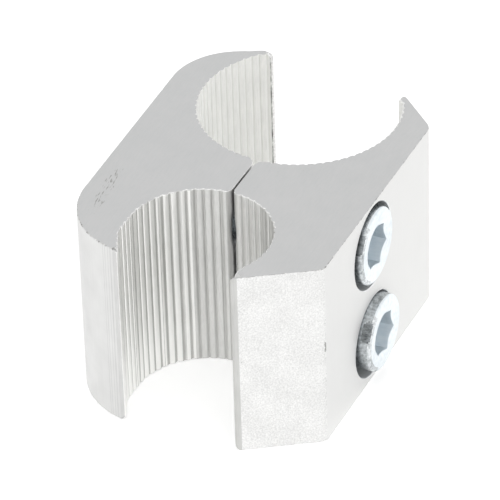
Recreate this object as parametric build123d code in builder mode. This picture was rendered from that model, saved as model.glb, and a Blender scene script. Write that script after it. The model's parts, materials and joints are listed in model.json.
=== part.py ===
from build123d import *
from math import cos, degrees, radians, sin, sqrt, tan
import os

# Twin tube clamp: an extruded front block and rear jaw, drawn together on two parallel tubes
# of different size by two socket cap screws, one over the other.
# Millimetres. The tubes stand along Z. The origin is on the large tube's axis, level with the
# lower sawn end. The small tube lies towards -X, the screw heads face -Y.

# Tubes, the metal between each and the screws' axes, and the sawn length of both extrusions.
# The gap between the two ridges stands a little in front of the tubes' plane
large_tube = 40.0
small_tube = 28.0
ridge_past_large = 5.5
ridge_past_small = 6.65
length = 40.0
ridge_gap = 0.4
ridge_gap_forward = 0.1

# Front block, seen from above. A grip angle runs round the tube from the tubes' plane to the
# wing's tip, a lip is the wing's thickness at that tip, a slant the steepness of an end face
block_wall_large = 6.4
block_grip_small = 52.45
block_grip_large = 60.46
block_lip_small = 3.32
block_lip_large = 1.4
block_slant_small = 57.6
block_slant_large = 46.5
block_corner_small = 2.0
block_corner_large = 3.2

# Rear jaw, seen from above: its back falls away slightly towards the small tube. There its wing
# leaves the round of the tube, runs straight to a bend and slants down to the tip
jaw_wall_small = 12.2
jaw_wall_large = 7.3
jaw_bend_small = 67.5
jaw_grip_small = 35.8
jaw_grip_large = 39.6
jaw_lip_slant = 24.0
jaw_lip_edge = 0.5
jaw_lip_large = 0.9
jaw_slant_large = 65.0
jaw_corner_small = 17.05
jaw_corner_large = 13.8

# Rounded edges: the ridges, the wings' tips as a share of their lip, the tips' sawn corners
ridge_corner_small = 1.4
ridge_corner_large = 2.4
lip_rounding = 0.27
block_round_small = 1.6
block_round_large = 1.1
jaw_round_small = 1.2
jaw_round_large = 2.2

# Gripping grooves along both tubes
groove_pitch = 1.6
groove_width = 0.55
groove_floor = 0.2
groove_depth = 0.22
groove_margin = 1.1

# Socket cap screws: the upper one is down on its seat, the lower one a turn backed out. The
# heads' edges are broken wide and low
screw_diameter = 10.0
shank_length = 40.0
shank_chamfer = 1.0
head_diameter = 15.4
head_height = 10.0
head_edge_width = 1.0
head_edge_depth = 0.52
key_size = 8.0
key_depth = 5.0
key_turn = 45.0
key_mouth = 9.5
key_mouth_angle = 120.0
drill_point_angle = 118.0
upper_height = 30.55
lower_height = 10.55
upper_backed_out = 0.05
lower_backed_out = 1.4

# Holes for the screws. The counterbores are sunk low of the holes, the lower one more so, which
# leaves that screw's head off centre in it
clearance_hole = 10.5
clearance_mouth = 14.4
counterbore = 17.55
upper_sink_drop = 0.15
lower_sink_drop = 0.85
counterbore_depth = 9.1
thread_clearance = 0.05
tapped_mouth = 12.6
tapped_back_mouth = 11.4
mouth_angle = 90.0

# Places worked out from the sizes above
large_radius = large_tube / 2
small_radius = small_tube / 2
screw_x = -large_radius - ridge_past_large
small_x = screw_x - ridge_past_small - small_radius
block_ridge_y = -ridge_gap_forward - ridge_gap / 2
jaw_ridge_y = -ridge_gap_forward + ridge_gap / 2
block_depth = large_radius + block_wall_large
seat_y = counterbore_depth - block_depth
tapped_radius = screw_diameter / 2 + thread_clearance
cutter_lap = 0.2


def across(radius, offset):
    """Half the width of a circle at some distance from its centre."""
    return sqrt(radius**2 - offset**2)


def round_corners(outline, corners):
    """Round the corners of a flat outline, each given as x, y and its radius."""
    for x, y, radius in corners:
        fillet(outline.vertices().sort_by_distance(Vector(x, y, 0))[0], radius)


def cut_tubes():
    """Take both tubes out of a flat outline."""
    Circle(large_radius, mode=Mode.SUBTRACT)
    with Locations((small_x, 0)):
        Circle(small_radius, mode=Mode.SUBTRACT)


def groove():
    """One trapezoid groove, cut towards +X into the wall at the present place."""
    mouth = groove_width + (groove_width - groove_floor) * cutter_lap / groove_depth
    Polygon(
        (-cutter_lap, -mouth / 2),
        (groove_depth, -groove_floor / 2),
        (groove_depth, groove_floor / 2),
        (-cutter_lap, mouth / 2),
        align=None,
        mode=Mode.SUBTRACT,
    )


def cut_round_grooves(centre_x, radius, first, ridge_angle, sweep):
    """Grooves round one half bore, the first at some way from the tubes' plane along the wall."""
    way = 1 if sweep > 0 else -1
    start = ridge_angle + way * degrees(first / radius)
    end = ridge_angle + sweep - way * degrees(groove_margin / radius)
    pitch_angle = degrees(groove_pitch / radius)
    steps = int(abs(end - start) / pitch_angle)
    with Locations((centre_x, 0)):
        with PolarLocations(radius, steps + 1, start, way * steps * pitch_angle, endpoint=True):
            groove()


def cut_straight_grooves(x, y, run, slant):
    """Grooves in a straight wall over the tube, which falls by its slant towards -X."""
    for step in range(int(run / groove_pitch)):
        along = groove_pitch * (step + 0.5)
        place = (x - along * cos(radians(slant)), y - along * sin(radians(slant)), 0)
        with Locations(Location(place, (0, 0, 90 + slant))):
            groove()


def round_tip(x, y, way, radius, wing):
    """Round the two sawn corners of a wing's tip, which points towards Y (1) or -Y (-1)."""
    for end_z, up in ((0, 1), (length, -1)):
        with BuildSketch(Plane(origin=(x, y, end_z), x_dir=(0, way, 0), z_dir=(way * up, 0, 0))) as corner:
            with Locations((-radius, -cutter_lap)):
                Rectangle(radius + cutter_lap, radius + cutter_lap, align=(Align.MIN, Align.MIN))
            with Locations((-radius, radius)):
                Circle(radius, mode=Mode.SUBTRACT)
        extrude(corner.sketch, amount=wing + 3 * radius, both=True, mode=Mode.SUBTRACT)


# Front block: a flat face with a slanted end on either side, two wings under the tubes, and
# between the tubes the ridge that the screws pass through
block_tip_y_small = -small_radius * sin(radians(block_grip_small))
block_tip_y_large = -large_radius * sin(radians(block_grip_large))
block_tip_left = small_x - small_radius * cos(radians(block_grip_small)) - block_lip_small
block_tip_right = large_radius * cos(radians(block_grip_large)) + block_lip_large
block_face_left = block_tip_left + (block_depth + block_tip_y_small) / tan(radians(block_slant_small))
block_face_right = block_tip_right - (block_depth + block_tip_y_large) / tan(radians(block_slant_large))
hole_places = ((0, upper_height), (0, lower_height))
sink_places = ((0, upper_height - upper_sink_drop), (0, lower_height - lower_sink_drop))

with BuildPart() as front_block:
    with BuildSketch() as block_outline:
        with BuildLine():
            Polyline(
                (block_tip_left, block_tip_y_small),
                (block_face_left, -block_depth),
                (block_face_right, -block_depth),
                (block_tip_right, block_tip_y_large),
                (0, block_tip_y_large),
                (0, block_ridge_y),
                (small_x, block_ridge_y),
                (small_x, block_tip_y_small),
                close=True,
            )
        make_face()
        cut_tubes()
        round_corners(
            block_outline,
            (
                (block_face_left, -block_depth, block_corner_small),
                (block_face_right, -block_depth, block_corner_large),
                (block_tip_left, block_tip_y_small, block_lip_small * lip_rounding),
                (block_tip_right, block_tip_y_large, block_lip_large * lip_rounding),
                (small_x + across(small_radius, block_ridge_y), block_ridge_y, ridge_corner_small),
                (-across(large_radius, block_ridge_y), block_ridge_y, ridge_corner_large),
            ),
        )
        first_large = ridge_corner_large + groove_width - block_ridge_y
        first_small = ridge_corner_small + groove_width - block_ridge_y
        cut_round_grooves(0, large_radius, first_large, 180, 180 - block_grip_large)
        cut_round_grooves(small_x, small_radius, first_small, 0, block_grip_small - 180)
    extrude(amount=length)
    round_tip(block_tip_left, block_tip_y_small, 1, block_round_small, block_lip_small)
    round_tip(block_tip_right, block_tip_y_large, 1, block_round_large, block_lip_large)
    with Locations(Plane(origin=(screw_x, -block_depth, 0), x_dir=(1, 0, 0), z_dir=(0, -1, 0))):
        with Locations(*hole_places):
            Hole(clearance_hole / 2)
        with Locations(*sink_places):
            Hole(counterbore / 2, counterbore_depth)
    with Locations(Plane(origin=(screw_x, block_ridge_y, 0), x_dir=(-1, 0, 0), z_dir=(0, 1, 0))):
        with Locations(*hole_places):
            CounterSinkHole(clearance_hole / 2, clearance_mouth / 2, clearance_mouth / 2, mouth_angle)
front_block.part.label = "front_block"

# Rear jaw: a nearly flat back that runs round two full corners into thin wings, and the ridge
# that the screws are threaded into
back_slope = (large_radius + jaw_wall_large - small_radius - jaw_wall_small) / -small_x
side_rise = tan(radians(jaw_slant_large))
jaw_left = small_x - small_radius * cos(radians(jaw_grip_small))
jaw_back_left = large_radius + jaw_wall_large + back_slope * jaw_left
jaw_bend_x = small_x - small_radius * cos(radians(jaw_bend_small))
jaw_tip_y_small = small_radius - (jaw_bend_x - jaw_left) * tan(radians(jaw_lip_slant))
jaw_tip_y_large = large_radius * sin(radians(jaw_grip_large))
jaw_tip_right = large_radius * cos(radians(jaw_grip_large)) + jaw_lip_large
jaw_side_height = jaw_tip_right * side_rise + jaw_tip_y_large - large_radius - jaw_wall_large
jaw_corner_x = jaw_side_height / (side_rise + back_slope)
jaw_back_right = large_radius + jaw_wall_large + back_slope * jaw_corner_x
back_y_at_screws = large_radius + jaw_wall_large + back_slope * screw_x
back_mouth_y = back_y_at_screws + abs(back_slope) * tapped_back_mouth / 2

with BuildPart() as rear_jaw:
    with BuildSketch() as jaw_outline:
        with BuildLine():
            Polyline(
                (jaw_left, jaw_ridge_y),
                (jaw_left, jaw_back_left),
                (jaw_corner_x, jaw_back_right),
                (jaw_tip_right, jaw_tip_y_large),
                (0, jaw_tip_y_large),
                (0, jaw_ridge_y),
                close=True,
            )
        make_face()
        round_corners(
            jaw_outline,
            (
                (jaw_left, jaw_back_left, jaw_corner_small),
                (jaw_corner_x, jaw_back_right, jaw_corner_large),
            ),
        )
        Polygon(
            (jaw_left, jaw_ridge_y),
            (small_x, jaw_ridge_y),
            (small_x, small_radius),
            (jaw_bend_x, small_radius),
            (jaw_left, jaw_tip_y_small),
            align=None,
            mode=Mode.SUBTRACT,
        )
        cut_tubes()
        round_corners(
            jaw_outline,
            (
                (jaw_left, jaw_tip_y_small, jaw_lip_edge),
                (jaw_tip_right, jaw_tip_y_large, jaw_lip_large * lip_rounding),
                (small_x + across(small_radius, jaw_ridge_y), jaw_ridge_y, ridge_corner_small),
                (-across(large_radius, jaw_ridge_y), jaw_ridge_y, ridge_corner_large),
            ),
        )
        first_large = ridge_corner_large + groove_width + jaw_ridge_y
        first_small = ridge_corner_small + groove_width + jaw_ridge_y
        lip_run = (jaw_bend_x - jaw_left) / cos(radians(jaw_lip_slant)) - groove_margin
        cut_round_grooves(0, large_radius, first_large, 180, jaw_grip_large - 180)
        cut_round_grooves(small_x, small_radius, first_small, 0, 90)
        cut_straight_grooves(small_x, small_radius, small_x - jaw_bend_x, 0)
        cut_straight_grooves(jaw_bend_x, small_radius, lip_run, jaw_lip_slant)
    extrude(amount=length)
    round_tip(jaw_left, jaw_tip_y_small, -1, jaw_round_small, jaw_lip_edge)
    round_tip(jaw_tip_right, jaw_tip_y_large, -1, jaw_round_large, jaw_lip_large)
    with Locations(Plane(origin=(screw_x, jaw_ridge_y, 0), x_dir=(1, 0, 0), z_dir=(0, -1, 0))):
        with Locations(*hole_places):
            CounterSinkHole(tapped_radius, tapped_mouth / 2, None, mouth_angle)
    with Locations(Plane(origin=(screw_x, back_mouth_y, 0), x_dir=(-1, 0, 0), z_dir=(0, 1, 0))):
        with Locations(*hole_places):
            CounterSinkHole(tapped_radius, tapped_back_mouth / 2, tapped_back_mouth / 2, mouth_angle)
rear_jaw.part.label = "rear_jaw"

# Cap screws: turned with a broken head edge and a pointed shank end, a hexagon socket pressed
# in, its mouth opened by a shallow cone
head_radius = head_diameter / 2
shank_radius = screw_diameter / 2
screw_length = head_height + shank_length
screws = []
for screw_name, height, backed_out in (
    ("upper_screw", upper_height, upper_backed_out),
    ("lower_screw", lower_height, lower_backed_out),
):
    head_y = seat_y - backed_out - head_height
    with BuildPart() as cap_screw:
        with BuildSketch(Plane(origin=(screw_x, head_y, height), x_dir=(0, 1, 0), z_dir=(1, 0, 0))) as turned:
            with BuildLine():
                Polyline(
                    (0, 0),
                    (0, head_radius - head_edge_width),
                    (head_edge_depth, head_radius),
                    (head_height, head_radius),
                    (head_height, shank_radius),
                    (screw_length - shank_chamfer, shank_radius),
                    (screw_length, shank_radius - shank_chamfer),
                    (screw_length, 0),
                    close=True,
                )
            make_face()
        revolve(axis=Axis((screw_x, head_y, height), (0, 1, 0)))
        with BuildSketch(Plane(origin=(screw_x, head_y, height), x_dir=(1, 0, 0), z_dir=(0, -1, 0))):
            RegularPolygon(key_size / 2, 6, major_radius=False, rotation=key_turn)
        extrude(amount=-key_depth, mode=Mode.SUBTRACT)
        for bore, depth, angle in ((key_mouth, 0, key_mouth_angle), (key_size, key_depth, drill_point_angle)):
            with Locations(Plane(origin=(screw_x, head_y + depth, height), z_dir=(0, 1, 0))):
                Cone(
                    bore / 2,
                    0,
                    bore / 2 / tan(radians(angle / 2)),
                    align=(Align.CENTER, Align.CENTER, Align.MIN),
                    mode=Mode.SUBTRACT,
                )
    cap_screw.part.label = screw_name
    screws.append(cap_screw.part)

os.makedirs("parts", exist_ok=True)
for piece in (front_block.part, rear_jaw.part, *screws):
    export_step(piece, f"parts/{piece.label}.step")
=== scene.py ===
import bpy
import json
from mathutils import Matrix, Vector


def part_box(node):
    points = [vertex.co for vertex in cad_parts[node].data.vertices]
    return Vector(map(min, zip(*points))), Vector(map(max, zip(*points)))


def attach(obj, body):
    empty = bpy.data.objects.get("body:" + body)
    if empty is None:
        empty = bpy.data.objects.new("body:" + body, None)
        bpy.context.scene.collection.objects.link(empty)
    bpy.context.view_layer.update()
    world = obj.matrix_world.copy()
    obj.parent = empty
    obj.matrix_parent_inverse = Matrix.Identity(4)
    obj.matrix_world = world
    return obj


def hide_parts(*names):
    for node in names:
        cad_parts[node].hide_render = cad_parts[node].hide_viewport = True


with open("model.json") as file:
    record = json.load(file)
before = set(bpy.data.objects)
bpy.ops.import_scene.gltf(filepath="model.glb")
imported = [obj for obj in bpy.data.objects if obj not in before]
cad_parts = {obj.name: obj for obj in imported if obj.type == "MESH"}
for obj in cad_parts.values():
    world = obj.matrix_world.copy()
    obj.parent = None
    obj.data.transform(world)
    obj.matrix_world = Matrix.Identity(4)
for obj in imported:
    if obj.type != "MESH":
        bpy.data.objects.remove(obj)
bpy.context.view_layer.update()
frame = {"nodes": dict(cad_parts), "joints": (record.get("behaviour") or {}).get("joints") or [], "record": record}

import json
from math import cos, pi, radians, tan

import bmesh
import bpy
import numpy as np
from mathutils import Matrix, Vector, geometry

# Twin tube clamp: two sawn lengths of aluminium extrusion on two tubes, and two socket cap screws.
# Shapes are worked out in millimetres, in the frame's own axes, and put into meshes in metres.

MM = 0.001

# Sizes read from the frame
mounts = {mount["name"]: mount for mount in frame["record"]["mounts"]}
joints = {joint["name"]: joint for joint in frame["joints"]}
large_radius = mounts["large_tube"]["dims"]["r_mm"]
small_radius = mounts["small_tube"]["dims"]["r_mm"]
small_x = mounts["small_tube"]["pos_m"][0] / MM
length = mounts["large_tube"]["dims"]["length_mm"]
screw_x = joints["upper_screw_turn"]["pos_m"][0] / MM
screw_heights = [joints[f"{name}_screw_turn"]["pos_m"][2] / MM for name in ("upper", "lower")]

# Holes of the front block, with the counterbores sunk a little low of the screws
counterbore_radius = 8.775
counterbore_depth = 9.1
counterbore_edge = 0.15
counterbore_corner = 0.3
sink_drops = (0.15, 0.85)
clearance_radius = 5.25
mouth_radius = 7.2
mouth_raggedness = 0.12
mouth_waves = 7

# Tapped holes of the rear jaw
tapped_radius = 5.05
tapped_crest_radius = 4.22
tapped_mouth_radius = 6.3
back_mouth_radius = 5.7
back_flare = 1.5
tapping_steps = 10

# How far cutters run past a surface, and past an edge that they shape
past = 1.0
little_past = 0.2

# Head of the cap screws: its broken edge is an arc that starts beside a ring on its face
head_radius = 7.7
head_height = 10.0
head_edge_width = 1.0
head_edge_depth = 0.52
head_edge_turns = (0, 15, 30, 45, 60, 75, 90)
head_side_shares = (0.04, 0.08, 0.12, 0.16, 0.3, 0.6, 1)
head_seat_break = 0.3
face_ring = 0.6

# Hexagon socket: its flats end in a cone at the mouth, and a drill's point lies at its end
key_apothem = 4.0
key_corner_share = 1.145
key_depth = 5.0
key_turn = 45.0
key_drill_angle = 59.0
key_mouth_radius = 4.75
key_mouth_angle = 30.0
# Depths and widths of the small roundings of the flats' ends and of the mouth
key_flat_end = (0.25, 0.03)
key_mouth_inside = (0.06, 0.05)
key_mouth_outside = 0.15

# Shank and thread
neck_round = 0.4
shank_radius = 4.97
thread_root_radius = 4.12
thread_pitch = 1.5
thread_length = 32.0
thread_flat = 0.125
thread_steps = 12
thread_end = 0.1
hole_segments = 96
screw_segments = 144

# Sawn edges, rolled over and worn, with burrs along the bores: sizes, and wavelengths of the ripples
edge_roll = 0.12
worn_roll = 0.26
worn_waves = (2.1, 0.7)
worn_above = 0.7
scallop_roll = 0.3
block_roll_large = 0.42
jaw_roll_outside = 0.34
burr_height = 0.08
burr_lean = 0.6
burr_waves = (1.3, 0.5)
fine_burrs = 0.7
edge_turns = (0, 22.5, 45, 67.5, 90)
# The corner arcs at the wings' tips stop at this share of their radius, just short of upright
drop_share = 0.995

# Thick nose at the end of the block's large wing, which leans over the bore
nose_lean = (-0.2, 0.57)
nose_reach = 1.3
nose_thickness = 1.6

# Outlines: steps along them and up the extrusions, and where they start
outline_step = 0.2
extrusion_rows = 14
start_slope = 3
# The least square of the sum of two directions, which keeps the mitres of sharp corners short
mitre_limit = 1.6
# Triangles only inside the outline, for the filling of the ends
inside_only = 1

# Edges sharper than these angles stay creases
jaw_crease = 28
screw_crease = 32

# Welding distances in metres, for cut lines and for the rings of turned solids
line_weld = 1e-6
ring_weld = 1e-7

# Grooves of the bores, as depths behind the wall: where one starts, its floor, and the most there is
groove_start = 0.05
groove_floor = 0.15
groove_reach = 0.3

# Lands between the grooves: their rounding in the small and the large bore, and its reach
land_crown = 0.16
soft_crown = 0.1
land_reach = 0.8
# A land as wide as two, which has one more groove
wide_land = (2.2, 4.0)
die_depth = 0.02
die_waves = 0.8

# The rear jaw's small wing: its flat run beyond the small tube's axis, and its slant from there
wing_bend = 5.36
wing_slant = 24.0

# Seeds of the ripples, and how many values each draws
block_seed, jaw_seed, mouth_seed = 11, 23, 31
tip_seed, land_seed, edge_seed, end_seed = 51, 52, 53, 54
ripple_values = 4096


def node_box(node):
    """Lowest and highest corner of a CAD node, in millimetres."""
    low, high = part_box(node)
    return np.array(low) / MM, np.array(high) / MM


def ripple(places, wavelength, seed):
    """Smooth noise from -1 to 1 along a line: random values one wavelength apart, joined by cosines."""
    values = np.random.default_rng(seed).uniform(-1, 1, ripple_values)
    steps = np.asarray(places) / wavelength
    whole = np.floor(steps).astype(int)
    blend = (1 - np.cos(pi * (steps - whole))) / 2
    return values[whole % ripple_values] * (1 - blend) + values[(whole + 1) % ripple_values] * blend


def near(points, x, y, reach):
    """One at x, y, falling as (1 - (distance / reach)^2)^2 to nothing at the reach."""
    away = np.hypot(points[:, 0] - x, points[:, 1] - y)
    return np.clip(1 - (away / reach) ** 2, 0, 1) ** 2


def new_piece(name, points, faces):
    """A mesh object at the origin from points in millimetres and faces of point numbers."""
    mesh = bpy.data.meshes.new(name)
    mesh.from_pydata((np.asarray(points) * MM).tolist(), [], [list(face) for face in faces])
    mesh.validate()
    piece = bpy.data.objects.new(name, mesh)
    bpy.context.scene.collection.objects.link(piece)
    return piece


def smooth_but_creased(piece, crease):
    """Smooth shading that breaks at every edge sharper than the crease, in degrees."""
    work = bmesh.new()
    work.from_mesh(piece.data)
    for face in work.faces:
        face.smooth = True
    for edge in work.edges:
        if len(edge.link_faces) == 2:
            edge.smooth = edge.calc_face_angle(0) < radians(crease)
    work.to_mesh(piece.data)
    work.free()


def section(node, height):
    """The closed line where a level plane cuts a CAD node, in millimetres.

    Its points run counter-clockwise, from the one farthest towards the rear and the right.
    """
    work = bmesh.new()
    work.from_mesh(frame["nodes"][node].data)
    bmesh.ops.remove_doubles(work, verts=work.verts, dist=line_weld)
    everything = work.verts[:] + work.edges[:] + work.faces[:]
    bmesh.ops.bisect_plane(work, geom=everything, plane_co=(0, 0, height * MM), plane_no=(0, 0, 1),
                           clear_inner=True, clear_outer=True)
    bmesh.ops.remove_doubles(work, verts=work.verts, dist=line_weld)
    start = work.verts[:][0]
    line, before, here = [start], None, start
    while True:
        ahead = [edge.other_vert(here) for edge in here.link_edges if edge.other_vert(here) is not before]
        before, here = here, ahead[0]
        if here is start:
            break
        line.append(here)
    points = np.array([vert.co[:2] for vert in line]) / MM
    work.free()
    ahead = np.roll(points, -1, 0)
    area = (points[:, 0] * ahead[:, 1] - points[:, 1] * ahead[:, 0]).sum()
    points = points if area > 0 else points[::-1]
    return np.roll(points, -(points[:, 0] + start_slope * points[:, 1]).argmax(), 0)


def even_steps(points, step):
    """A closed line with its corners kept and each run divided into equal steps no longer than step."""
    runs = np.roll(points, -1, 0) - points
    counts = np.maximum(1, np.ceil(np.hypot(*runs.T) / step)).astype(int)
    owner = np.repeat(np.arange(len(points)), counts)
    first = np.repeat(np.cumsum(counts) - counts, counts)
    along = (np.arange(len(owner)) - first) / counts[owner]
    return points[owner] + runs[owner] * along[:, None]


def outward(points):
    """Outward directions at the corners of a counter-clockwise line, longer where it turns (mitred)."""
    ahead = np.roll(points, -1, 0) - points
    normals = np.stack([ahead[:, 1], -ahead[:, 0]], 1) / np.hypot(*ahead.T)[:, None]
    middle = normals + np.roll(normals, 1, 0)
    return 2 * middle / np.maximum((middle**2).sum(1), mitre_limit)[:, None]


def extrusion(name, outline, low, high, roll, lip, rows):
    """A sawn length of extrusion: its outline carried from the low to the high end.

    Near each end a point moves in by roll (1 - cos t) and stops roll (1 - sin t) short, t from 0 to
    90 degrees, which rounds the sawn edge; a burr adds lip sin(2t) past the sawn end, and burr_lean
    of that outwards. roll, lip, low and high may change along the outline. Each end is closed by
    triangles.
    """
    normals = outward(outline)
    turn = np.radians(edge_turns)[:, None]
    inward = roll * (1 - np.cos(turn)) - lip * burr_lean * np.sin(2 * turn)
    short = roll * (1 - np.sin(turn)) - lip * np.sin(2 * turn)
    middle = np.linspace(0, 1, rows)[1:-1, None]
    heights = np.concatenate([
        (low + short)[::-1],
        low + roll + (high - low - 2 * roll) * middle,
        high - short,
    ])
    inset = np.concatenate([inward[::-1], np.zeros((rows - 2, len(outline))), inward])
    flat = outline[None] - normals[None] * inset[..., None]
    count, levels = len(outline), len(heights)
    points = np.concatenate([flat, heights[..., None]], 2).reshape(-1, 3)
    level, place = np.meshgrid(np.arange(levels - 1), np.arange(count), indexing="ij")
    after = (place + 1) % count
    walls = np.stack([level * count + place, level * count + after,
                      (level + 1) * count + after, (level + 1) * count + place], -1).reshape(-1, 4)
    faces = walls.tolist()
    corners = [Vector(point) for point in outline]
    closed = geometry.delaunay_2d_cdt(corners, [], [range(count)], inside_only, line_weld)
    for triangle in closed[2]:
        low_end = [closed[3][corner][0] for corner in triangle]
        faces.append(low_end[::-1])
        faces.append([(levels - 1) * count + corner for corner in low_end])
    return new_piece(name, points, faces)


def turned(name, rows, centre, segments, start=0.0):
    """A closed solid about an axis along Y: at angle a and place y, the point is r cos a, y, r sin a.

    rows are pairs of place and radius along the profile, either of them one number or one for each
    angle. The first and the last row close to a point on the axis.
    """
    angles = radians(start) + np.arange(segments) * 2 * pi / segments
    places = np.array([np.broadcast_to(place, segments) for place, radius in rows], float)
    radii = np.array([np.broadcast_to(radius, segments) for place, radius in rows], float)
    rings = np.stack([centre[0] + radii * np.cos(angles), places, centre[1] + radii * np.sin(angles)], 2)
    row, column = np.meshgrid(np.arange(len(rings) - 1), np.arange(segments), indexing="ij")
    after = (column + 1) % segments
    faces = np.stack([row * segments + column, (row + 1) * segments + column,
                      (row + 1) * segments + after, row * segments + after], -1).reshape(-1, 4)
    piece = new_piece(name, rings.reshape(-1, 3), faces.tolist())
    work = bmesh.new()
    work.from_mesh(piece.data)
    bmesh.ops.remove_doubles(work, verts=work.verts, dist=ring_weld)
    bmesh.ops.recalc_face_normals(work, faces=work.faces)
    work.to_mesh(piece.data)
    work.free()
    return piece


def thread(places, angles, crest, root):
    """Radius of a 60 degree right-hand thread: straight flanks between flats on its crest and root.

    Along Y a ridge is where place / pitch + angle / turn is whole, with the angle from X towards Z.
    The flats are thread_flat of a pitch wide.
    """
    phase = (places / thread_pitch + angles / (2 * pi)) % 1
    wave = np.abs(2 * phase - 1)
    return root + (crest - root) * np.clip((wave - thread_flat) / (1 - 2 * thread_flat), 0, 1)


def cut(piece, cutters):
    """Take the cutters out of a piece, and remove them."""
    for cutter in cutters:
        boolean = piece.modifiers.new("cut", "BOOLEAN")
        boolean.operation = "DIFFERENCE"
        boolean.solver = "EXACT"
        boolean.object = cutter
    bpy.context.view_layer.update()
    shape = bpy.data.meshes.new_from_object(piece.evaluated_get(bpy.context.evaluated_depsgraph_get()))
    piece.modifiers.clear()
    piece.data = shape
    for cutter in cutters:
        bpy.data.objects.remove(cutter)


def wing_drop(points, axis_x, side, way, radius):
    """How far the sawn corners of a wing's tip fall away: r - sqrt(r^2 - (r - d)^2), d from the tip.

    The wing lies on one side of a tube's axis and points towards Y (way 1) or -Y (way -1).
    """
    wing = side * (points[:, 0] - axis_x) > 0
    from_tip = (way * points[wing, 1]).max() - way * points[:, 1]
    reach = np.where(wing, np.clip(radius - from_tip, 0, radius * drop_share), 0)
    return radius - np.sqrt(radius**2 - reach**2)


def behind(x, y):
    """How far places lie behind the walls round the large and round the small tube, in millimetres.

    Above the small tube the rear wing leaves its round: it runs flat to wing_bend beyond the axis,
    then falls by tan(wing_slant) for each millimetre.
    """
    fall = np.clip(small_x - wing_bend - x, 0, None) * tan(radians(wing_slant))
    round_small = np.hypot(x - small_x, y) - small_radius
    on_wing = (x < small_x) & (y > 0)
    return np.hypot(x, y) - large_radius, np.where(on_wing, y + fall - small_radius, round_small)


def on_bores(x, y):
    """One where places lie on the large and on the small bore's wall or grooves, and nothing elsewhere."""
    behind_large, behind_small = behind(x, y)
    return (behind_large < groove_reach) * 1.0, (behind_small < groove_reach) * (x < screw_x)


def rounded_lands(x, y, along, seed):
    """How far the bores' walls move away from the tubes' axes, as x and y.

    The lands fall by crown (1 - d / land_reach)^2, d from the nearest groove's floor, and a land as
    wide as two has one more groove in its middle. Faint die lines run along both bores.
    """
    behind_large, behind_small = behind(x, y)
    on_large, on_small = on_bores(x, y)
    depth = np.where(on_small > 0, behind_small, behind_large * on_large)
    floors = along[depth > groove_floor]
    lands = np.diff(floors)
    wide = (lands > wide_land[0]) & (lands < wide_land[1])
    floors = np.concatenate([floors, (floors[:-1] + lands / 2)[wide]])
    from_floor = np.abs(along[:, None] - floors).min(1)
    crown = np.clip(1 - from_floor / land_reach, 0, 1) ** 2
    crown *= land_crown * on_small + soft_crown * on_large
    fall = np.clip(crown - depth, 0, None)
    fall += die_depth * ripple(along, die_waves, seed) * (on_small + on_large)
    axis_x = np.where(x < screw_x, small_x, 0)
    away = np.stack([x - axis_x, y], 1) / np.hypot(x - axis_x, y)[:, None]
    return away * fall[:, None]


def nose_shift(x, y, way, lean):
    """How far the large wing's nose leans, as x and y: lean (1 - d / nose_reach)^2, d from its tip.

    It leans less behind the wall, falling evenly to nothing at nose_thickness.
    """
    wing = (x > 0) & (way * y < 0)
    from_tip = (way * y[wing]).max() - way * y
    behind_large = behind(x, y)[0]
    share = np.clip(1 - from_tip / nose_reach, 0, 1) ** 2 * np.clip(1 - behind_large / nose_thickness, 0, 1)
    return (share * wing)[:, None] * lean


def sawn_rolls(outline, along, rolls, worn_corners, seed):
    """How far the sawn edge is rolled over along an outline.

    It is edge_roll, and more by a ripple where it is worn and by near() at each worn corner. rolls
    take its place round the small bore, round the large bore and outside the small wing.
    """
    x, y = outline.T
    on_large, on_small = on_bores(x, y)
    outside = (x < small_x) * (1 - on_small)
    waves = ripple(along, worn_waves[0], seed) + ripple(along, worn_waves[1], seed + 1)
    worn = np.clip(waves - worn_above, 0, 1)
    corners = sum(depth * near(outline, *place) for depth, *place in worn_corners)
    roll = edge_roll + worn_roll * worn * (1 - on_small) * (1 - on_large) + corners
    for share, size in zip((on_small, on_large, outside), rolls):
        roll += share * (size - edge_roll)
    return roll


def jaw(name, node, way, falls, rolls, worn_corners, tip_burr, lean, seed):
    """One jaw: its outline read from the CAD node, with rounded lands and worn and burred sawn edges.

    falls are the radii of the wings' sawn corners, small tube first. rolls and worn_corners are as
    sawn_rolls() takes them. tip_burr is the height, place and reach of a burr on a wing's tip. lean
    is how far the large wing's nose leans.
    """
    low, high = node_box(node)
    outline = even_steps(section(node, length / 2), outline_step)
    along = np.cumsum(np.hypot(*(np.roll(outline, -1, 0) - outline).T))
    x, y = outline.T
    on_large, on_small = on_bores(x, y)
    drop = wing_drop(outline, small_x, -1, way, falls[0]) + wing_drop(outline, 0, 1, way, falls[1])
    roll = sawn_rolls(outline, along, rolls, worn_corners, seed)
    fine = ripple(along, burr_waves[1], seed + 3)
    burred = np.clip(ripple(along, burr_waves[0], seed + 2) + fine_burrs * fine, 0, 1)
    outline = outline + rounded_lands(x, y, along, seed + 4) + nose_shift(x, y, way, lean)
    burr = burr_height * burred * np.maximum(on_small, on_large * (way < 0))
    burr += tip_burr[0] * near(outline, *tip_burr[1:])
    return extrusion(name, outline, low[2] + drop, high[2] - drop, roll, burr, extrusion_rows)


block_low, block_high = node_box("front_block")
jaw_low, jaw_high = node_box("rear_jaw")

# Knocked corners of the block's face and ridge, and a notch in the rear jaw: depth, place and reach
face_corner_small = (0.2, block_low[0] + 9.7, block_low[1], 3.0)
face_corner_large = (0.1, block_high[0] - 8.6, block_low[1], 2.0)
ridge_corner = (0.15, small_x + small_radius, block_high[1], 1.5)
wing_notch = (0.5, jaw_low[0], 12.2, 0.5)

# Burrs on the tips of the small wings: height, place and reach
wing_tip = (jaw_low[0] + 0.2, 11.4)
wing_burr = (0.45, *wing_tip, 0.7)
no_burr = (0, 0, 0, 1)

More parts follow.
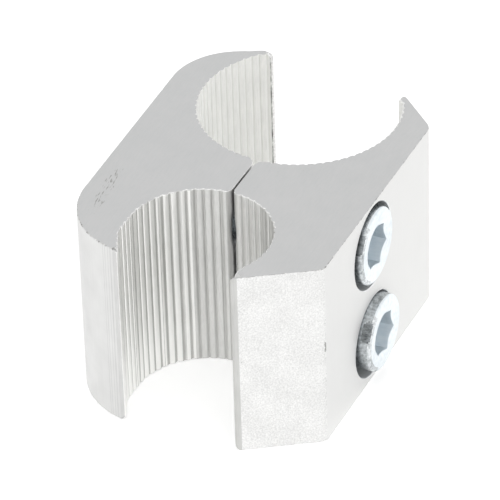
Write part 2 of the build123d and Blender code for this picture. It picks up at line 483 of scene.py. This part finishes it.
front = jaw("front_block_surface", "front_block", way=1, falls=(1.6, 0.4),
            rolls=(scallop_roll, block_roll_large, edge_roll),
            worn_corners=(face_corner_small, face_corner_large, ridge_corner),
            tip_burr=no_burr, lean=nose_lean, seed=block_seed)
rear = jaw("rear_jaw_surface", "rear_jaw", way=-1, falls=(1.2, 2.2),
           rolls=(scallop_roll, edge_roll, jaw_roll_outside),
           worn_corners=(wing_notch,), tip_burr=wing_burr, lean=(0, 0), seed=jaw_seed)

# The front block's clearance holes with ragged mouths in the ridge, and its counterbores
face_y, ridge_y = block_low[1], block_high[1]
seat_y = face_y + counterbore_depth
hole_angles = np.arange(hole_segments) * 2 * pi / hole_segments
block_cutters = []
for number, (height, drop) in enumerate(zip(screw_heights, sink_drops)):
    mouth = mouth_radius + mouth_raggedness * ripple(hole_angles * mouth_waves, 1.0, mouth_seed + number)
    clearance = [
        (seat_y - past, 0),
        (seat_y - past, clearance_radius),
        (ridge_y - (mouth - clearance_radius), clearance_radius),
        (ridge_y + little_past, mouth + little_past),
        (ridge_y + little_past, 0),
    ]
    counterbore = [
        (face_y - past, 0),
        (face_y - past, counterbore_radius + (past + counterbore_edge)),
        (face_y + counterbore_edge, counterbore_radius),
        (seat_y - counterbore_corner, counterbore_radius),
        (seat_y, counterbore_radius - counterbore_corner),
        (seat_y, 0),
    ]
    sunk = (screw_x, height - drop)
    block_cutters.append(turned(f"clearance_{number}", clearance, (screw_x, height), hole_segments))
    block_cutters.append(turned(f"counterbore_{number}", counterbore, sunk, hole_segments))
cut(front, block_cutters)

# The rear jaw's tapped holes, flared 45 degrees at the ridge and at the back
jaw_ridge_y, back_y = jaw_low[1], jaw_high[1]
back_line = section("rear_jaw", length / 2)
back_line = back_line[back_line[:, 1] > large_radius]
back_at_screws = np.interp(screw_x, *back_line[back_line[:, 0].argsort()].T)
flare_end = jaw_ridge_y + tapped_mouth_radius - tapped_radius
jaw_cutters = []
for number, height in enumerate(screw_heights):
    tapping = [
        (jaw_ridge_y - little_past, 0),
        (jaw_ridge_y - little_past, tapped_mouth_radius + little_past),
    ]
    for place in np.arange(flare_end, back_y, thread_pitch / tapping_steps):
        wall = thread(place, hole_angles, tapped_radius, tapped_crest_radius)
        tapping.append((place, np.maximum(wall, back_mouth_radius + place - back_at_screws)))
    tapping += [(back_y + past, back_mouth_radius + back_flare), (back_y + past, 0)]
    jaw_cutters.append(turned(f"tapping_{number}", tapping, (screw_x, height), hole_segments))
cut(rear, jaw_cutters)
smooth_but_creased(front, jaw_crease)
smooth_but_creased(rear, jaw_crease)


def cap_screw(name, node):
    """A socket cap screw: its profile turned about Y, with radii that change with the angle.

    The hexagon's radius is apothem / cos(a), a from the middle of each flat. Its mouth is a cone, so
    the flats start lower than the corners. The head's edge is broken by an arc: width sin t, depth
    (1 - cos t). The thread fades in over its first turn, and the end is broken at 45 degrees.
    """
    low, high = node_box(node)
    head_y, end_y = low[1], high[1]
    angles = radians(key_turn) + np.arange(screw_segments) * 2 * pi / screw_segments
    from_flat = (angles - radians(key_turn)) % (pi / 3) - pi / 6
    hexagon = np.minimum(key_apothem / np.cos(from_flat), key_apothem * key_corner_share)
    cone = (key_mouth_radius - hexagon) * tan(radians(key_mouth_angle))
    flat = head_radius - head_edge_width
    rows = [
        (head_y + key_depth + key_apothem / tan(radians(key_drill_angle)), 0),
        (head_y + key_depth, key_apothem),
        (head_y + key_depth, hexagon),
        (head_y + cone + key_flat_end[0], hexagon),
        (head_y + cone, hexagon + key_flat_end[1]),
        (head_y + key_mouth_inside[0], key_mouth_radius - key_mouth_inside[1]),
        (head_y, key_mouth_radius + key_mouth_outside),
        (head_y, flat - face_ring),
    ]
    for turn in np.radians(head_edge_turns):
        rows.append((head_y + head_edge_depth * (1 - cos(turn)), flat + head_edge_width * np.sin(turn)))
    side_height = head_height - head_edge_depth - head_seat_break
    for share in head_side_shares:
        rows.append((head_y + head_edge_depth + side_height * share, head_radius))
    rows += [
        (head_y + head_height, head_radius - head_seat_break),
        (head_y + head_height, shank_radius + neck_round),
        (head_y + head_height + neck_round, shank_radius),
    ]
    thread_from = end_y - thread_length
    for place in np.arange(thread_from, end_y, thread_pitch / thread_steps):
        fade = min(1, (place - thread_from) / thread_pitch)
        root = shank_radius + (thread_root_radius - shank_radius) * fade
        radius = thread(place, angles, shank_radius, root)
        rows.append((place, np.minimum(radius, thread_root_radius + end_y - place)))
    rows += [(end_y, thread_root_radius - thread_end), (end_y, 0)]
    screw = turned(name, rows, (screw_x, (low[2] + high[2]) / 2), screw_segments, key_turn)
    smooth_but_creased(screw, screw_crease)
    return screw


upper = cap_screw("upper_screw_surface", "upper_screw")
lower = cap_screw("lower_screw_surface", "lower_screw")


def linear(colour):
    """An sRGB hex colour as linear red, green, blue and alpha."""
    parts = [int(colour[place:place + 2], 16) / 255 for place in (1, 3, 5)]
    return [part / 12.92 if part < 0.04045 else ((part + 0.055) / 1.055) ** 2.4 for part in parts] + [1]


def add(tree, kind, inputs=(), **settings):
    """Add a node: inputs are pairs of a socket's name or number and its value or the output it takes."""
    made = tree.nodes.new(kind)
    for name, value in settings.items():
        setattr(made, name, value)
    for socket, value in inputs:
        if isinstance(value, bpy.types.NodeSocket):
            tree.links.new(value, made.inputs[socket])
        else:
            made.inputs[socket].default_value = value
    return made


def start_material(name):
    """A new material: its tree, its surface shader and its Object coordinates."""
    made = bpy.data.materials.new(name)
    made.use_nodes = True
    tree = made.node_tree
    shader = tree.nodes["Principled BSDF"]
    place = add(tree, "ShaderNodeTexCoord").outputs["Object"]
    return made, tree, shader, place


def metal(name, dark, light, grain, stretch, slant, roughness, relief, mottling=0.35):
    """Bare or plated metal, whose colour goes from dark to light with a noise and a slow mottling.

    The noise has its grain's size in millimetres, drawn out along the stretched axes and slanted about
    Z. It also moves the roughness between its two values and raises the surface by the relief.
    """
    made, tree, shader, place = start_material(name)
    stretched = add(tree, "ShaderNodeMapping", [("Vector", place), ("Rotation", (0, 0, radians(slant))),
                                                ("Scale", [1 / share for share in stretch])])
    fine = add(tree, "ShaderNodeTexNoise", [("Vector", stretched.outputs[0]), ("Scale", 1 / (grain * MM)),
                                            ("Detail", 3), ("Roughness", 0.6)]).outputs["Fac"]
    slow = add(tree, "ShaderNodeTexNoise", [("Vector", place), ("Scale", 1 / (mottle_size * MM)),
                                            ("Detail", 2)]).outputs["Fac"]
    both = add(tree, "ShaderNodeMix", [("Factor", mottling), (2, fine), (3, slow)]).outputs[0]
    share = add(tree, "ShaderNodeMapRange", [("Value", both), ("From Min", 0.35),
                                             ("From Max", 0.65)]).outputs[0]
    colour = add(tree, "ShaderNodeMix", [("Factor", share), (6, linear(dark)), (7, linear(light))],
                 data_type="RGBA").outputs[2]
    gloss = add(tree, "ShaderNodeMapRange", [("Value", fine), ("To Min", roughness[0]),
                                             ("To Max", roughness[1])])
    raised = add(tree, "ShaderNodeBump", [("Height", fine), ("Distance", relief * MM)])
    tree.links.new(colour, shader.inputs["Base Color"])
    tree.links.new(gloss.outputs[0], shader.inputs["Roughness"])
    tree.links.new(raised.outputs[0], shader.inputs["Normal"])
    shader.inputs["Metallic"].default_value = 1.0
    return made


def score(made, colour, centre, heading, reach, size):
    """Marks in a colour on a material, inside an ellipsoid with a centre, heading and half sizes.

    The marks are where a noise of the given size, raised inside the ellipsoid, passes a limit that it
    doesn't reach outside.
    """
    tree = made.node_tree
    place = add(tree, "ShaderNodeTexCoord").outputs["Object"]
    placed = [("Vector", place), ("Location", Vector(centre) * MM), ("Rotation", (0, 0, radians(heading)))]
    patch = add(tree, "ShaderNodeMapping", [*placed, ("Scale", Vector(reach) * MM)], vector_type="TEXTURE")
    inside = add(tree, "ShaderNodeTexGradient", [("Vector", patch.outputs[0])], gradient_type="SPHERICAL")
    marks = add(tree, "ShaderNodeMapping", [*placed, ("Scale", Vector(size) * MM)], vector_type="TEXTURE")
    noise = add(tree, "ShaderNodeTexNoise", [("Vector", marks.outputs[0]), ("Scale", 1), ("Detail", 2)])
    raised = add(tree, "ShaderNodeMapRange", [("Value", inside.outputs["Fac"]), ("From Max", 0.5),
                                              ("To Max", 0.2)]).outputs[0]
    both = add(tree, "ShaderNodeMath", [(0, noise.outputs["Fac"]), (1, raised)]).outputs[0]
    share = add(tree, "ShaderNodeMapRange", [("Value", both), ("From Min", 0.75), ("From Max", 0.85)])
    shader = tree.nodes["Principled BSDF"]
    under = shader.inputs["Base Color"].links[0].from_socket
    mixed = add(tree, "ShaderNodeMix", [("Factor", share.outputs[0]), (6, under), (7, linear(colour))],
                data_type="RGBA").outputs[2]
    tree.links.new(mixed, shader.inputs["Base Color"])


# Size of the slow mottling, and where scratches and specks lie: centre, heading, half sizes, mark size
mottle_size = 6.0
top_scratches = ((-39.8, 22.3, length), 7.7, (12.0, 1.9, 1.9), (1.8, 0.3, 1.0))
corner_specks = ((*face_corner_small[1:3], 23.0), 0, (1.0, 1.0, 12.0), (0.5, 0.5, 0.9))

# Bare extruded aluminium, with the die's faint lines along it: pale and soft
extruded = metal("mill_finish_extruded_aluminium", "#d6d6d5", "#dfdfde",
                 0.5, (1, 1, 40), 0, (0.42, 0.5), 0.001, 0.7)
# The block's face: the same metal made lighter and plainer, as painted light where it faces the lamps
lit_face = metal("rubbed_extruded_aluminium", "#e8e8e7", "#eaeae9", 0.5, (1, 1, 40), 0, (0.6, 0.7), 0.0004)
# The wall of the rear jaw's small wing beside its tip: painted shade in streaks, greyer
shaded_wall = metal("dull_extruded_aluminium", "#cbcbca", "#d7d7d6", 0.4, (1, 1, 10), 0, (0.45, 0.55), 0.002)
# Sawn ends: greyer, with the blade's faint slanting marks, drawn coarser than the real ones
sawn = metal("sawn_aluminium", "#c9caca", "#cfcfcf", 0.3, (7, 1, 1), 35, (0.45, 0.55), 0.006)
# Scratches on the rear jaw's sawn top, beside its rounded corner
score(sawn, "#9a9a96", *top_scratches)
# Slanted ends: a fine grainy skin that scatters the light, with painted light that makes it almost white
lit_grainy_end = metal("grainy_end_aluminium", "#d8d8d7", "#f4f4f3", 0.3, (1, 1, 1), 0, (0.5, 0.62), 0.018, 0.2)
# Specks along the block's corner, between its face and its slanted end
score(lit_grainy_end, "#9c9c99", *corner_specks)
# Lands of the rear jaw's small bore: pale and pitted along the extrusion
grooved = metal("pitted_bore_aluminium", "#f8f8f6", "#fdfdfb", 0.35, (1, 1, 6), 0, (0.5, 0.62), 0.012)
# Lands of both small bores near the ridge, in streaks: painted shade, light grey, between the pitted lands and the
# block's shaded ones
shaded_lands = metal("greyed_bore_aluminium", "#d8d8d6", "#e6e6e4", 0.35, (1, 1, 6), 0, (0.5, 0.62), 0.01)
# Lands of the block's small bore: grey as painted shade, with fine drawn lines
shaded_block_lands = metal("drawn_bore_aluminium", "#adadab", "#dcdcda", 0.3, (1, 1, 30), 0, (0.5, 0.6), 0.006)
# Lands of the large bore: pale and soft
soft_lands = metal("soft_bore_aluminium", "#ececea", "#f4f4f2", 0.35, (1, 1, 6), 0, (0.7, 0.8), 0.004)
# Grooves of the small bore: painted shade, duller and darker than the lands, so that the ribs stand out
groove_and_corner_shade = metal("dulled_groove_aluminium", "#cacac8", "#d8d8d6", 0.4, (1, 1, 12), 0, (0.6, 0.7), 0.004)
# Grooves of the large bore: almost as pale as the lands, so that its ribs are soft
pale = metal("pale_groove_aluminium", "#eeeeec", "#f6f6f4", 0.4, (1, 1, 12), 0, (0.6, 0.7), 0.002)
# Burred edges: painted highlights, bright with grey specks
burr_highlight = metal("burred_edge_aluminium", "#d6d6d5", "#fdfdfc", 0.4, (1, 1, 1), 0, (0.5, 0.6), 0.006, 0.1)
# Worn edges and the seam inside the large wing's edge: painted shade in places and painted highlights in others
seam_shade_and_glint = metal("broken_seam_aluminium", "#6a6a68", "#f0f0ee", 0.9, (1, 1, 2), 0, (0.5, 0.6), 0.01, 0.2)
# Counterbores and tapped holes: the cutter's rings, pale where light comes in past the heads
machined = metal("counterbored_aluminium", "#f6f8f9", "#fcfdfd", 0.4, (1, 8, 1), 0, (0.55, 0.65), 0.006)
# Zinc plating on the heads' faces: bright and slightly blue
zinc = metal("bright_zinc_plated_steel", "#dde5ea", "#f2f7f9", 0.9, (1, 1, 1), 0, (0.25, 0.35), 0.006)
# The heads' broken edges on the side towards the small tube: painted shade, grey in places
shaded_head_edge = metal("scuffed_zinc_plated_steel", "#8f9598", "#f4f7f8", 0.7, (1, 1, 1), 0, (0.25, 0.4), 0.01)
# The heads' sides and the threads: rolled steel under thin plating, patchy light and dark
rolled = metal("thinly_plated_rolled_steel", "#868b8d", "#d8dde0", 0.6, (1, 1, 1), 0, (0.3, 0.45), 0.015)
# A dark patch on each head's side, and painted shade on the sides inside the counterbores
dark_patch_and_hole_shade = metal("thin_dark_plating", "#54585a", "#a2a7a9", 0.5, (1, 2, 1), 0, (0.35, 0.5), 0.015)
# The sockets: pressed, dull, blue grey
pressed = metal("pressed_socket_steel", "#e4ecf1", "#f0f5f8", 0.6, (1, 4, 1), 0, (0.35, 0.5), 0.01)


def face_places(part):
    """Middle and facing of every face of a piece, in millimetres, as two arrays of x, y and z rows."""
    count = len(part.data.polygons)
    centres, normals = np.empty(count * 3), np.empty(count * 3)
    part.data.polygons.foreach_get("center", centres)
    part.data.polygons.foreach_get("normal", normals)
    return centres.reshape(-1, 3).T / MM, normals.reshape(-1, 3).T


def finish(part, materials, slots):
    """Give a piece its materials, and each face the one whose number stands in slots."""
    part.data.materials.clear()
    for material in materials:
        part.data.materials.append(material)
    part.data.polygons.foreach_set("material_index", slots)


# Finishes of the jaws and of the screws, in the order in which their materials are given
(EXTRUDED, SAWN, LANDS, MACHINED, LIT_GRAINY_END, LIT_FACE, GROOVE_AND_CORNER_SHADE, PALE, BURR_HIGHLIGHT, SOFT, SHADED_WALL, SHADED_LANDS,
 SEAM_SHADE_AND_GLINT) = range(13)
PLATED, SHADED_HEAD_EDGE, ROLLED, PRESSED, DARK_PATCH_AND_HOLE_SHADE = range(5)

# How much of a face's direction lies along an axis: nearly all of it, down to a little
square, level, shaded_head_side, tilted, leaning = 0.9, 0.6, 0.5, 0.3, 0.2

# Clear of a wall, near enough to a surface, and near enough to a hole's seat
clear, skin, seat_margin = 1.0, 0.3, 0.1

# Streaks of painted shade at the rear jaw's tip, on the lands and at the block's end: wavelength, seed, start and
# reach
tip_shade_streaks = (0.17, tip_seed, wing_tip[1], 4.5)
land_shade_streaks = (0.23, land_seed, -41.0, 10.0)
end_shade_streaks = (0.25, end_seed, 0, 0.8)

# Outer edges painted with shade and highlights in places: wavelength and seed, and the least of the ripple
edge_waves = (0.5, edge_seed)
edge_shade_above = 0.1

# Painted highlights on the edges beside the rear jaw's small bore and along its ridge
bright_edge = 0.35
ridge_edge = 0.5

# Seam of the rear jaw's large wing, painted with shade and highlights: the wing's tip, where the wing starts, and
# the band from the tip
seam_tip = 12.75
large_wing = jaw_high[0] - 4
seam_band = (0.2, 0.4)

# Dark patch on each head's side: its turn above the small tube's side, its depth and its half sizes
patch_turn = radians(33)
patch_depth = 1.0
patch_size = (radians(16), 1.3)

# How far inside its counterbore each head's side gets painted shade
shaded_from = {"upper_screw": 5.0, "lower_screw": 2.6}


def streaked(places, wavelength, seed, start, reach):
    """Whether places lie in streaks, which thin out from all at the start to none at the reach."""
    return ripple(places, wavelength, seed) > 2 * (places - start) / reach - 1


def jaw_slots(part, hole_radius, hole_places):
    """Which finish each face of a jaw has, worked out from its place and the way it faces.

    In a bore the lands and the grooves differ: the small bore's grooves get painted shade, and a flank
    in it that faces its open side catches the light as the lands do. The block's face and the slanted
    ends get painted light. Painted shade lies in streaks on the rear jaw's small wing beside its tip and
    on the block beside its small end, and in light grey streaks on the small bore's lands towards the
    ridge. The bores' upper sawn edges are burred and get painted highlights. Their lower ones get
    painted shade and highlights like the seam, and so do the outer edges in places.
    """
    (x, y, z), (nx, ny, nz) = face_places(part)
    behind_large, behind_small = behind(x, y)
    on_large, on_small = behind_large < groove_reach, behind_small < groove_reach
    slots = np.full(len(x), EXTRUDED)
    # Painted light: the block's face gets a lighter copy of the extruded metal
    slots[(ny < -square) & (y < face_y + skin)] = LIT_FACE
    off_bores = (behind_small > clear) & (behind_large > clear)
    # Painted light: faces turned towards the lamps, off the bores, get the almost white grainy finish
    slots[(np.abs(nx) > tilted) & (ny < -leaning) & off_bores] = LIT_GRAINY_END
    slots[on_large & (nx * x + ny * y < 0)] = LANDS
    slots[on_small & (nx * (x - small_x) + ny * y < 0)] = LANDS
    slots[(slots == LANDS) & (behind_large > groove_start) & (x > screw_x)] = PALE
    to_open = np.sign(y) * (ny * (x - small_x) - nx * y) / small_radius
    # Painted shade in the small bore's grooves, but not on flanks that face its open side
    slots[(slots == LANDS) & (behind_small > groove_start) & (x < screw_x) & (to_open < tilted)] = GROOVE_AND_CORNER_SHADE
    slots[(slots == LANDS) & on_large & (x > screw_x)] = SOFT
    beside_tip = (slots == EXTRUDED) & (y > 0) & (x < small_x)
    # Painted shade in streaks on the rear jaw's small wing beside its tip
    slots[beside_tip & streaked(y, *tip_shade_streaks)] = SHADED_WALL
    # Painted shade in streaks on the small bores' lands towards the ridge
    slots[(slots == LANDS) & ~streaked(x, *land_shade_streaks)] = SHADED_LANDS
    # Painted highlight on the shaded wall where it meets the small bore
    slots[(slots == SHADED_WALL) & (behind_small < bright_edge)] = BURR_HIGHLIGHT
    from_tip = y - seam_tip
    beside_seam = (x > large_wing) & (slots >= PALE) & (from_tip < seam_band[1])
    # Painted highlight up to a little past the seam's tip, then painted shade and highlights in the band beyond
    slots[beside_seam] = np.where(from_tip[beside_seam] > seam_band[0], SEAM_SHADE_AND_GLINT, BURR_HIGHLIGHT)
    # Painted shade in streaks on the block beside its small end
    beside_end = (y < 0) & np.isin(slots, (EXTRUDED, LIT_GRAINY_END))
    slots[beside_end & streaked(x - block_low[0], *end_shade_streaks)] = GROOVE_AND_CORNER_SHADE
    slots[np.abs(nz) > level] = SAWN
    on_roll = (np.abs(nz) > tilted) & (np.abs(nz) < square)
    on_wall = np.minimum(behind_large, behind_small) < groove_reach + scallop_roll
    # Painted highlights on the bores' upper rolled edges
    slots[on_roll & on_wall & (z > length / 2)] = BURR_HIGHLIGHT
    # Painted shade and highlights on the bores' lower rolled edges, and on outer rolled edges in places
    slots[on_roll & on_wall & (z <= length / 2)] = SEAM_SHADE_AND_GLINT
    slots[on_roll & ~on_wall & (ripple(x + y, *edge_waves) > edge_shade_above)] = SEAM_SHADE_AND_GLINT
    # Painted highlight on the rolled edges along the ridge
    slots[on_roll & (y > 0) & (y < ridge_edge)] = BURR_HIGHLIGHT
    for height in hole_places:
        away = np.hypot(x - screw_x, z - height)
        facing_axis = nx * (x - screw_x) + nz * (z - height) < -leaning * away
        on_seat = (ny < -square) & (y > face_y + clear) & (y < seat_y + seat_margin)
        slots[(away < hole_radius) & (facing_axis | on_seat)] = MACHINED
    return slots


def screw_slots(part, shade_depth):
    """Which finish each face of a screw has, worked out from its place and the way it faces.

    The head's face and the mouth of its socket are plated. Its broken edge gets painted shade towards the
    small tube. Its side and the thread are rolled, and the side is darker in a patch and gets painted
    shade from the given depth into the counterbore.
    """
    (x, y, z), (nx, ny, nz) = face_places(part)
    away = np.hypot(x - screw_x, z - z.mean())
    from_face = y - y.min()
    to_side = (screw_x - x) / away
    slots = np.full(len(x), PLATED)
    on_edge = (away > head_radius - head_edge_width) & (from_face < head_edge_depth)
    # Painted shade on the head's broken edge on the side towards the small tube
    slots[on_edge & (to_side > shaded_head_side)] = SHADED_HEAD_EDGE
    slots[from_face > head_edge_depth] = ROLLED
    turns = np.arctan2(z - z.mean(), screw_x - x)
    off_patch = np.hypot((turns - patch_turn) / patch_size[0], (from_face - patch_depth) / patch_size[1])
    in_patch = (away > head_radius - skin) & (off_patch < 1)
    # Painted shade on the head's side inside its counterbore, and a dark patch
    in_hole = (slots == ROLLED) & (from_face < head_height) & (y > face_y + shade_depth)
    slots[in_hole | in_patch] = DARK_PATCH_AND_HOLE_SHADE
    in_socket = (away < key_mouth_radius) & (from_face < key_depth + key_apothem)
    slots[in_socket & ((np.abs(ny) < tilted) | (from_face > clear))] = PRESSED
    slots[in_socket & (np.abs(ny) > tilted) & (from_face < clear)] = PLATED
    return slots


jaw_materials = (extruded, sawn, grooved, machined, lit_grainy_end, lit_face, groove_and_corner_shade, pale, burr_highlight,
                 soft_lands, shaded_wall, shaded_lands, seam_shade_and_glint)
# The block's lands get the grey painted shade in place of the rear jaw's pale lands
block_materials = jaw_materials[:LANDS] + (shaded_block_lands,) + jaw_materials[LANDS + 1:]
screw_materials = (zinc, shaded_head_edge, rolled, pressed, dark_patch_and_hole_shade)
sink_places = [height - drop for height, drop in zip(screw_heights, sink_drops)]
finish(front, block_materials, jaw_slots(front, counterbore_radius + skin, sink_places))
finish(rear, jaw_materials, jaw_slots(rear, tapped_mouth_radius + little_past, screw_heights))
finish(upper, screw_materials, screw_slots(upper, shaded_from["upper_screw"]))
finish(lower, screw_materials, screw_slots(lower, shaded_from["lower_screw"]))
for part, node, body, slot in (
    (front, "front_block", "front", "extruded_aluminium"),
    (rear, "rear_jaw", "rear", "extruded_aluminium"),
    (upper, "upper_screw", "upper_bolt", "zinc_plated_steel"),
    (lower, "lower_screw", "lower_bolt", "zinc_plated_steel"),
):
    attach(part, body)
    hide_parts(node)

# Camera, at the photograph's place: heading from +Y towards +X, then how far down it looks
scene = bpy.context.scene
camera_place = (-0.64576, -0.2964, 0.5093)
camera_heading = 64.503
camera_dip = 35.315
camera_roll = -1.754
lens = bpy.data.cameras.new("camera")
lens.sensor_width = 36.0
lens.lens = 315.52
lens.clip_start, lens.clip_end = 0.01, 20
camera = bpy.data.objects.new("camera", lens)
scene.collection.objects.link(camera)
camera.matrix_world = (Matrix.Translation(camera_place) @ Matrix.Rotation(radians(-camera_heading), 4, "Z")
                       @ Matrix.Rotation(radians(90 - camera_dip), 4, "X")
                       @ Matrix.Rotation(radians(camera_roll), 4, "Z"))
scene.camera = camera


def seen_white(tree):
    """One for rays from the camera, or mirrored or passed on by a surface, and nothing for the rest."""
    path = add(tree, "ShaderNodeLightPath").outputs
    passed = add(tree, "ShaderNodeMath", [(0, path["Is Glossy Ray"]), (1, path["Is Transmission Ray"])],
                 operation="MAXIMUM").outputs[0]
    seen = add(tree, "ShaderNodeMath", [(0, path["Is Camera Ray"]), (1, passed)], operation="MAXIMUM")
    return seen.outputs[0]


# World: even studio light, plain white to the camera and in the metal
scene.view_settings.view_transform = "Standard"
world = bpy.data.worlds.new("studio")
scene.world = world
world.use_nodes = True
tree = world.node_tree
studio = tree.nodes["Background"]
studio.inputs["Color"].default_value = linear("#e6e6e6")
white = add(tree, "ShaderNodeBackground", [("Color", (1, 1, 1, 1))])
mirrored = seen_white(tree)
shown = add(tree, "ShaderNodeMixShader", [("Fac", mirrored), (1, studio.outputs[0]), (2, white.outputs[0])])
tree.links.new(shown.outputs[0], tree.nodes["World Output"].inputs["Surface"])

# Floor: white paper with the object's soft shadow, a little lighter where it is seen or mirrored
floor_size = 3000.0
floor_gap = 0.02
floor_glow = 0.46
floor_corners = np.array([(-1, -1, 0), (1, -1, 0), (1, 1, 0), (-1, 1, 0)]) * floor_size / 2
floor = new_piece("floor", floor_corners + (0, 0, -floor_gap), [(0, 1, 2, 3)])
paper, tree, shader, place = start_material("white_paper")
shader.inputs["Base Color"].default_value = linear("#f4f4f4")
shader.inputs["Roughness"].default_value = 0.9
glow = add(tree, "ShaderNodeMath", [(0, seen_white(tree)), (1, floor_glow)], operation="MULTIPLY")
tree.links.new(glow.outputs[0], shader.inputs["Emission Strength"])
shader.inputs["Emission Color"].default_value = (1, 1, 1, 1)
floor.data.materials.append(paper)

# Lamps: the place that they face, in metres
lit_place = (-0.02, 0, 0.02)


def lamp(name, place, size, power):
    """A square soft lamp that faces the object, with its size in metres and its power in watts."""
    light = bpy.data.lights.new(name, "AREA")
    light.size = size
    light.energy = power
    made = bpy.data.objects.new(name, light)
    scene.collection.objects.link(made)
    aim = Vector(lit_place) - Vector(place)
    made.location = place
    made.rotation_euler = aim.to_track_quat("-Z", "Y").to_euler()


lamp("key_lamp", (-0.6, -0.9, 0.35), 0.8, 1.0)
lamp("back_lamp", (-0.9, 0.4, 0.5), 0.6, 0.4)
